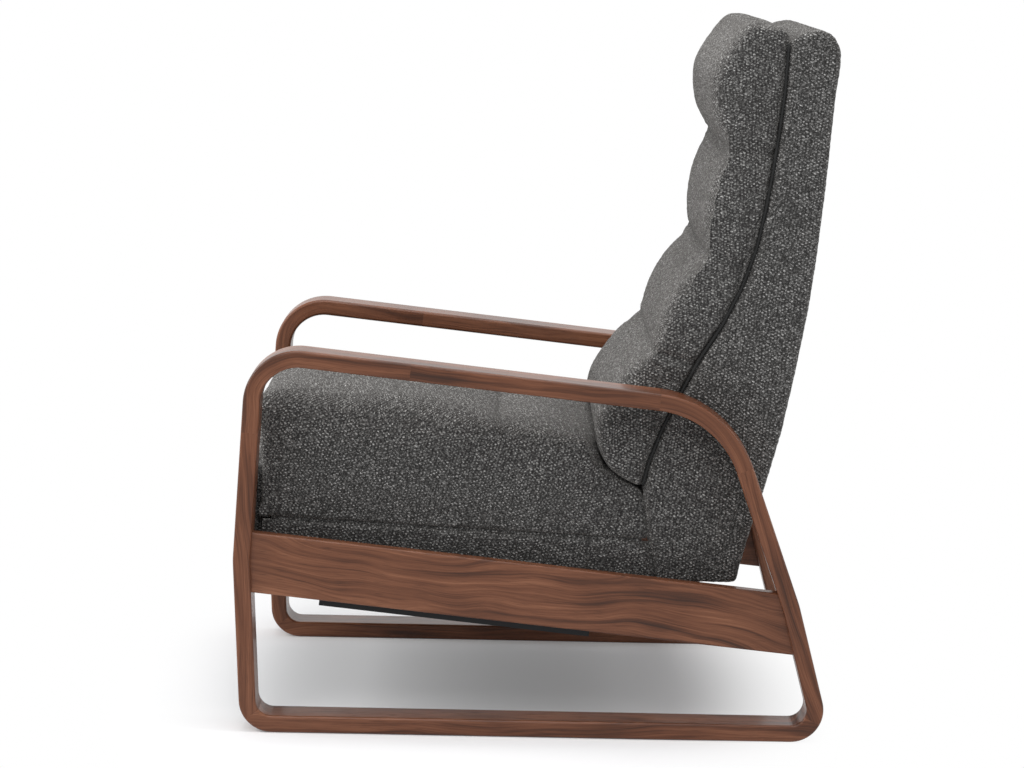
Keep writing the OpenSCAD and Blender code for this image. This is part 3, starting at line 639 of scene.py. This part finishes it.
def seam_cord(name, body, paths, finish, radius):
    """Thread or a welt laid in a seam, as a fine round cord along each path."""
    mesh = bpy.data.meshes.new(name)
    build = bmesh.new()
    turns = [2 * math.pi * k / CORD_FACES for k in range(CORD_FACES)]
    for path in paths:
        path = [Vector(p) for p in path]
        rings = []
        for i, point in enumerate(path):
            ahead = (path[min(i + 1, len(path) - 1)] - path[max(i - 1, 0)]).normalized()
            side = ahead.cross(Vector((1, 0.2, 0.1))).normalized()
            other = ahead.cross(side)
            rings.append([
                build.verts.new(point + radius * (math.cos(a) * side + math.sin(a) * other))
                for a in turns
            ])
        for low, high in zip(rings[:-1], rings[1:]):
            for k in range(CORD_FACES):
                n = (k + 1) % CORD_FACES
                build.faces.new((low[k], low[n], high[n], high[k]))
        build.faces.new(rings[0][::-1])
        build.faces.new(rings[-1])
    bmesh.ops.recalc_face_normals(build, faces=build.faces)
    build.to_mesh(mesh)
    build.free()
    shade_round(mesh)
    obj = new_object(name, mesh)
    cover(obj, finish)
    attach(obj, body)


def finish_soft(obj, body, node, finish):
    """Puts a cover in the place of its node, on its body and over its padding."""
    shade_round(obj.data)
    cover(obj, finish)
    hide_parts(node)
    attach(obj, body)


# Cushions and covers. Their lines are points (Y, Z), seen from the side

# The sewn lines between the rolls of the back, and how far behind them the cover is held
VALLEYS = ((0.273, 0.877), (0.245, 0.727), (0.169, 0.584))
VALLEY_DEPTH = 0.008
# How far the rolls hang below their sewn lines: heights, and the fall at each
SAG = ((0.45, 0.586, 0.735, 0.877, 0.95, 1.06), (0.0, 0.020, 0.026, 0.013, 0.003, 0.0))
# Where the valleys end up, and how far the crease at the side falls behind each
SUNK_VALLEYS = ((0.275, 0.864, 0.003), (0.247, 0.708, 0.016), (0.170, 0.566, 0.018))
# The seam between the back cushion and the cover behind it
SEAM = np.array([
    (0.163, 0.362), (0.172, 0.400), (0.191, 0.452), (0.220, 0.512), (0.245, 0.560),
    (0.273, 0.604), (0.301, 0.661), (0.321, 0.720), (0.333, 0.778), (0.342, 0.836),
    (0.349, 0.890), (0.355, 0.945), (0.358, 1.000), (0.359, 1.030),
])
# The front edge of the back's cheeks below the back cushion
HEEL_SEAM = np.array([
    (0.186, 0.222), (0.178, 0.262), (0.172, 0.300), (0.169, 0.332), (0.163, 0.362),
])


def seam_y(z):
    return np.interp(z, SEAM[:, 1], SEAM[:, 0])


def cheek_y(z):
    return np.interp(z, HEEL_SEAM[:, 1], HEEL_SEAM[:, 0])


def border_z(y):
    """The top edge of the seat's side border."""
    return 0.290 - 0.0428 * y


# Where the seat's cushion meets its border
WELT = np.array([(y, border_z(y)) for y in np.linspace(-0.384, 0.164, 60)])

# Seams that draw the side faces in: the line, the depth and the width of the crease
BACK_CREASE = (SEAM, 0.012, 0.0068)
HEEL_CREASE = (HEEL_SEAM, 0.007, 0.0045)
WELT_CREASE = (WELT, 0.006, 0.004)

# The black thread in the seam, painted shade along it, and the welt on the border,
# each at this X on both sides
SEAM_X = 0.2716
SEAM_RADIUS = 0.0024
WELT_X = 0.2715
WELT_RADIUS = 0.0033
# The seam's black thread, painted shade, runs between these heights in this many steps
THREAD_RUN = (0.366, 1.018, 90)

# How far from a sewn edge a cover starts to give, and gives fully
EDGE_FADE = (0.004, 0.03)
VALLEY_FADE = (0.004, 0.022)
# From which X the covers count as their side faces
SIDE_FADE = (0.262, 0.279)
# How far the cushion and the cover behind it each come to meet at the seam's sides
SEAM_CLOSING = 0.0045
# The height of the stuffing's unevenness, and of the border's and the legrest's
LUMPS = 0.0008
BORDER_LUMPS = 0.0003
LEGREST_LUMPS = 0.0004

WRAP_THICKNESS = 0.0008


def at_side(points, start=SIDE_FADE[0], end=SIDE_FADE[1]):
    """1 at a cover's side faces and 0 further in."""
    return smoothstep(np.abs(points[:, 0]), start, end)


def before_seam(points):
    """How far each point lies in front of the seam behind the back cushion."""
    return seam_y(points[:, 2]) - points[:, 1]


def above_border(points):
    return points[:, 2] - border_z(points[:, 1])


def meet_cheeks(points, share, reach, gap):
    """Draws the rear end of a seat cover back, to the front edge of the back's cheeks."""
    pushed = np.minimum(points[:, 1] + reach * share, cheek_y(points[:, 2]) + gap)
    points[:, 1] = np.where(share > 0, np.maximum(pushed, points[:, 1]), points[:, 1])


def back_cushion():
    """Four rolls between sewn valleys. They hang a little, and their sides have creases."""
    obj = soft_copy("back_cushion", "rolled_back_cushion", cell=0.006)
    smooth(obj, rounds=5, keep=1 - smoothstep(before_seam(points_of(obj)), 0.002, 0.02))
    points = points_of(obj)
    pinned = 1 - smoothstep(before_seam(points), *EDGE_FADE)
    for y, z in VALLEYS:
        gap = np.hypot(points[:, 1] - y - VALLEY_DEPTH, points[:, 2] - z)
        pinned = np.maximum(pinned, 1 - smoothstep(gap, *VALLEY_FADE))
    shrink = 0.0065 * smoothstep(points[:, 2], 0.44, 0.54)
    puff(obj, pinned, pressure=4.0, cap=0.014, shrink=shrink)
    subdivide(obj)
    points = points_of(obj)
    before = before_seam(points)
    points[:, 1] += SEAM_CLOSING * at_side(points) * (1 - smoothstep(before, *EDGE_FADE))
    points[:, 2] -= np.interp(points[:, 2], *SAG) * smoothstep(before, 0.01, 0.05)
    # The top roll's brow is drawn back and down, and its crown rises a little
    high = smoothstep(points[:, 2], 0.96, 1.03)
    brow = high * (1 - smoothstep(points[:, 1], 0.265, 0.31))
    crown = high * smoothstep(points[:, 1], 0.285, 0.32)
    points[:, 1] += 0.008 * brow
    nape = high * smoothstep(points[:, 1], 0.343, 0.36)
    points[:, 2] += 0.004 * crown - 0.005 * brow - 0.004 * nape
    move_points(obj, points)
    inner = 1 - at_side(points, 0.252, 0.279)
    for y, z, fall in SUNK_VALLEYS:
        across = ((y - 0.02, z - 0.002), (y + 0.035, z + 0.004))
        groove(obj, across, depth=0.006, width=0.006, share=inner)
        back_along = ((y, z), (y + 0.065, z - fall))
        tuck_sides(obj, back_along, depth=0.007, width=0.007, start=0.25)
    tuck_sides(obj, *BACK_CREASE)
    ripple(obj, LUMPS, seed=3.0)
    return obj


def seat_cushion():
    """The seat's top with one sewn valley across, and its front edge over the legrest."""
    valley_y, valley_z = -0.05, 0.462
    obj = soft_copy("seat_cushion", "seat_cushion_cover", cell=0.006)
    smooth(obj, rounds=5, keep=1 - smoothstep(above_border(points_of(obj)), 0.002, 0.012))
    points = points_of(obj)
    rest = 1 - smoothstep(above_border(points), *EDGE_FADE)
    gap = np.hypot(points[:, 1] - valley_y, points[:, 2] - valley_z)
    pinned = np.maximum(rest, 1 - smoothstep(gap, 0.004, 0.02))
    puff(obj, pinned, pressure=3.0, cap=0.012, shrink=0.0055)
    subdivide(obj)
    points = points_of(obj)
    # The front comes forward, more so at its upper edge
    corner = at_side(points, 0.20, 0.278)
    ahead = smoothstep(-points[:, 1], 0.28, 0.39) * corner
    high = smoothstep(points[:, 2], 0.42, 0.47)
    brow = smoothstep(-points[:, 1], 0.30, 0.39) * high
    points[:, 1] -= (0.017 + 0.013 * high) * ahead + 0.021 * brow * (1 - corner)
    # The top is a little lower than the front edge
    along = smoothstep(points[:, 1], -0.40, -0.27) * (1 - smoothstep(points[:, 1], 0.05, 0.12))
    points[:, 2] += 0.010 * brow - 0.011 * smoothstep(points[:, 2], 0.40, 0.46) * along
    heel = smoothstep(points[:, 1], 0.09, 0.13) * smoothstep(points[:, 2], 0.32, 0.36)
    points[:, 1:] += np.array((0.003, 0.005)) * heel[:, None]
    low_rear = smoothstep(points[:, 1], 0.135, 0.155) * (1 - smoothstep(points[:, 2], 0.33, 0.38))
    meet_cheeks(points, low_rear, reach=0.014, gap=0.0015)
    move_points(obj, points)
    tuck_sides(obj, *HEEL_CREASE)
    tuck_sides(obj, *WELT_CREASE)
    top = smoothstep(points[:, 2], 0.42, 0.46) * (1 - at_side(points, 0.24, 0.275))
    down = ((valley_y, 0.40), (valley_y, 0.48))
    groove(obj, down, depth=0.005, width=0.005, share=top)
    ripple(obj, LUMPS, seed=11.0)
    return obj


def back_cover():
    """The upholstered shell behind the rolls, and its cheeks beside the seat's rear end."""
    obj = soft_copy("back_shell", "back_cover", cell=0.005)
    smooth(obj, rounds=3)
    subdivide(obj)
    points = points_of(obj)
    past = points[:, 1] - seam_y(points[:, 2])
    above = smoothstep(points[:, 2], 0.37, 0.39)
    points[:, 1] -= SEAM_CLOSING * at_side(points) * (1 - smoothstep(past, *EDGE_FADE)) * above
    # The top comes down towards the crown of the rolls
    high = smoothstep(points[:, 2], 1.0, 1.03)
    points[:, 2] -= 0.022 * (1 - smoothstep(points[:, 1], 0.35, 0.415)) * high
    cheek = (1 - smoothstep(points[:, 2], 0.35, 0.38)) * at_side(points, 0.24, 0.27)
    edge = 1 - smoothstep(points[:, 1] - cheek_y(points[:, 2]), *EDGE_FADE)
    points[:, 1] -= 0.003 * cheek * edge
    # The padding fills the rear face out, most at the top
    rear = smoothstep(past, 0.02, 0.06)
    points[:, 1] += (0.0022 + 0.004 * smoothstep(points[:, 2], 0.93, 1.02)) * rear
    move_points(obj, points)
    tuck_sides(obj, *BACK_CREASE)
    tuck_sides(obj, *HEEL_CREASE)
    ripple(obj, LUMPS, seed=7.0)
    return obj


def side_cover():
    """The border along the seat's sides and front. Its sides end at the back's cheeks."""
    obj = soft_copy("seat_border", "seat_side_cover", cell=0.004)
    smooth(obj, rounds=1)
    subdivide(obj)
    points = points_of(obj)
    meet_cheeks(points, smoothstep(points[:, 1], 0.14, 0.16), reach=0.012, gap=0.001)
    points[:, 1] -= 0.009 * smoothstep(-points[:, 1], 0.35, 0.38)
    move_points(obj, points)
    tuck_sides(obj, *HEEL_CREASE)
    tuck_sides(obj, *WELT_CREASE)
    ripple(obj, BORDER_LUMPS, seed=5.0)
    return obj


def legrest_cover():
    """The legrest's pad, puffed in front of its board."""
    obj = soft_copy("legrest_pad", "legrest_cover", cell=0.005)
    smooth(obj, rounds=2)
    pinned = smoothstep(points_of(obj)[:, 1], -0.412, -0.408)
    puff(obj, pinned, pressure=2.0, cap=0.004)
    subdivide(obj)
    ripple(obj, LEGREST_LUMPS, seed=9.0)
    return obj


def legrest_wrap(weave):
    """The fabric turned over the legrest's board, a little outside it."""
    obj = new_object("legrest_wrap", nodes["legrest_board"].data.copy())
    low, high = (Vector(c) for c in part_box("legrest_board"))
    middle, half = np.array((low + high) / 2), np.array((high - low) / 2)
    grown = (half + WRAP_THICKNESS) / half
    move_points(obj, (points_of(obj) - middle) * grown + middle)
    cover(obj, weave)
    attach(obj, "legrest")


def on_sides(x, line):
    """A line of (Y, Z) points laid on both sides of the chair, x from its middle."""
    return [[(s * x, y, z) for y, z in line] for s in (-1, 1)]


def dress_soft():
    weave = tweed("charcoal_tweed", tilt=0.03)
    sides = tweed("charcoal_tweed_box", tilt=-0.30)
    back = tweed("charcoal_tweed_back", tilt=-0.12)
    finish_soft(back_cushion(), "back", "back_cushion", weave)
    finish_soft(seat_cushion(), "seat", "seat_cushion", sides)
    finish_soft(back_cover(), "back", "back_shell", back)
    finish_soft(side_cover(), "seat", "seat_border", sides)
    finish_soft(legrest_cover(), "legrest", "legrest_pad", weave)
    legrest_wrap(weave)
    # The black thread darkens the back's seam groove: painted shade
    thread = seam_shade_thread("seam_shade_black")
    seam = [(seam_y(z), z) for z in np.linspace(*THREAD_RUN)]
    seam_cord("back_seam_shade", "back", on_sides(SEAM_X, seam), thread, SEAM_RADIUS)
    seam_cord("seat_welt", "seat", on_sides(WELT_X, WELT), sides, WELT_RADIUS)


# Camera, light and floor

# The photo's viewpoint, found from the near and the far side loop
PICTURE_WIDTH = 1024.0
FOCAL_LENGTH = 3132.4  # in pixels of the picture
SENSOR_WIDTH = 36.0
CAMERA_PLACE = (4.8270, -0.0403, 1.1714)
CAMERA_ANGLES = (8.224, 0.102, 1.149)  # pitch, yaw and roll in degrees

CAMERA_REACH = 60.0

WHITE = (1, 1, 1, 1)
SKY = (0.95, 0.97, 1, 1)
SKY_STRENGTH = 0.32
FLOOR_WHITE = (0.86, 0.86, 0.865, 1)
FLOOR_SIZE = 24
FLOOR_DROP = 0.0005  # how far the floor lies under the runners
# Beyond the chair the floor is painted plain white over its shadow, fading in between these
# distances from its middle, measured in Y. In X it reaches twice as far.
SHADOW_FADE = (0.32, 0.57)
SHADOW_MIDDLE = -0.09
SHADOW_REACH_X = 2


def set_camera():
    camera = new_object("camera", bpy.data.cameras.new("camera"))
    camera.data.sensor_width = SENSOR_WIDTH
    camera.data.lens = FOCAL_LENGTH / PICTURE_WIDTH * SENSOR_WIDTH
    camera.data.clip_end = CAMERA_REACH
    pitch, yaw, roll = (math.radians(angle) for angle in CAMERA_ANGLES)
    level = math.cos(pitch)
    ahead = Vector((-level * math.cos(yaw), level * math.sin(yaw), -math.sin(pitch)))
    right = ahead.cross(Vector((0, 0, 1))).normalized()
    up = right.cross(ahead)
    rolled_right = right * math.cos(roll) + up * math.sin(roll)
    rolled_up = up * math.cos(roll) - right * math.sin(roll)
    turn = Matrix((rolled_right, rolled_up, -ahead)).transposed().to_4x4()
    camera.matrix_world = Matrix.Translation(CAMERA_PLACE) @ turn
    bpy.context.scene.camera = camera


def lamp(name, place, aim, size, watts):
    light = bpy.data.lights.new(name, "AREA")
    light.shape = "RECTANGLE"
    light.size, light.size_y = size
    light.energy = watts
    obj = new_object(name, light)
    obj.location = place
    obj.rotation_euler = (Vector(aim) - Vector(place)).to_track_quat("-Z", "Y").to_euler()


def set_light():
    """Four soft lamps, and surroundings that look white but give little light."""
    lamp("front_softbox", (0.6, -2.8, 1.9), (0, -0.1, 0.6), (1.8, 1.8), 52)
    lamp("top_softbox", (0.2, 0.1, 3.4), (0, 0, 0.5), (2.6, 2.6), 60)
    lamp("rear_strip", (1.0, 2.7, 1.6), (0, 0.3, 0.7), (0.8, 2.0), 16)
    lamp("side_fill", (3.2, -0.8, 3.0), (0, 0, 0.5), (2.2, 1.6), 36)
    world = bpy.data.worlds.new("studio")
    bpy.context.scene.world = world
    sheet = Sheet(world)
    direct, through, mirrored = sheet.outputs(
        "LightPath", ("Is Camera Ray", "Is Transmission Ray", "Is Glossy Ray")
    )
    seen = direct.math("MAXIMUM", through).math("MAXIMUM", mirrored)
    backdrop = sheet.add("Background", sockets={"Color": WHITE, "Strength": 1.0})
    ambient = sheet.add("Background", sockets={"Color": SKY, "Strength": SKY_STRENGTH})
    mixed = sheet.add("MixShader", sockets={0: seen, 1: ambient, 2: backdrop})
    sheet.finish(mixed, "OutputWorld")


def set_floor():
    """A white sweep that keeps the chair's shadow near it, lifted by a painted glow, and paints
    plain white over the shadow further out.
    """
    bpy.ops.mesh.primitive_plane_add(size=FLOOR_SIZE, location=(0, 0, -FLOOR_DROP))
    floor = bpy.context.object
    floor.name = "studio_floor"
    sheet = material("white_floor")
    x, y, _ = sheet.split(sheet.place())
    aside = y - SHADOW_MIDDLE
    far = (x * x * (1 / SHADOW_REACH_X ** 2) + aside * aside) ** 0.5
    direct, mirrored = sheet.outputs("LightPath", ("Is Camera Ray", "Is Glossy Ray"))
    seen = direct.math("MAXIMUM", mirrored)
    matt = sheet.add("BsdfDiffuse", sockets={"Color": FLOOR_WHITE})
    # Painted light: a faint glow seen by the camera lifts the floor and the chair's shadow on it
    lift = sheet.add("Emission", sockets={"Color": WHITE, "Strength": 0.12})
    lifted = sheet.add("AddShader", sockets={0: matt, 1: lift})
    near = sheet.add("MixShader", sockets={0: seen, 1: matt, 2: lifted})
    # Painted light: plain white painted over the chair's shadow away from it
    white = sheet.add("Emission", sockets={"Color": WHITE, "Strength": 1.0})
    share = far.clamped(*SHADOW_FADE) * seen
    cover(floor, sheet.finish(sheet.add("MixShader", sockets={0: share, 1: near, 2: white})))


bpy.context.scene.view_settings.view_transform = "Standard"
set_camera()
set_light()
set_floor()
dress_frame()
dress_inside()
dress_soft()
